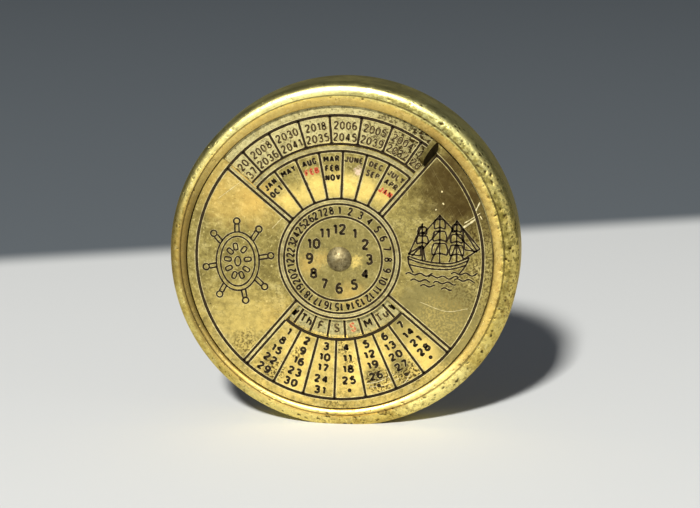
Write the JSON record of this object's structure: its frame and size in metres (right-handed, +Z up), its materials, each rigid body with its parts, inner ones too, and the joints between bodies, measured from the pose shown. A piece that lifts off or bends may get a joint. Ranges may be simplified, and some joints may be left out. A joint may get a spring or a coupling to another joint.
{
  "type": "perpetual desk calendar",
  "caption": "Round brass desk calendar standing on its side: an engraved face plate with two windows turns by a lug over a fixed disc of years and weekdays.",
  "frame": {"origin": "on the surface that the flat of the casing stands on, under the middle of the depth from the finger lug to the back", "axes": "+Z up the dial, -Y out of the dial towards the reader, +X to the reader's right; the calendar stands on a flat of its casing"},
  "size_m": [0.0714, 0.0158, 0.07],
  "materials": {
    "casing_brass": "turned and polished, with worn pits on the shoulder",
    "plate_brass": "lacquered sheet, engraved lines filled black, a few marks filled red",
    "disc_brass": "dull sheet, engraved lines filled black",
    "rivet_brass": "tarnished, hammered dome",
    "washer_steel": "plain",
    "rear_washer_brass": "plain"
  },
  "bodies": {
    "base": {"casing": "casing_brass", "year_disc": "disc_brass", "spacer_washer": "washer_steel", "centre_rivet": "rivet_brass", "rear_washer": "rear_washer_brass"},
    "plate": {"face_plate": "plate_brass"}
  },
  "joints": [
    {"name": "plate_turn", "type": "hinge", "parent": "base", "child": "plate", "pos_m": [0, -0.00417, 0.03425], "axis": [0, -1, 0], "continuous": true}
  ]
}
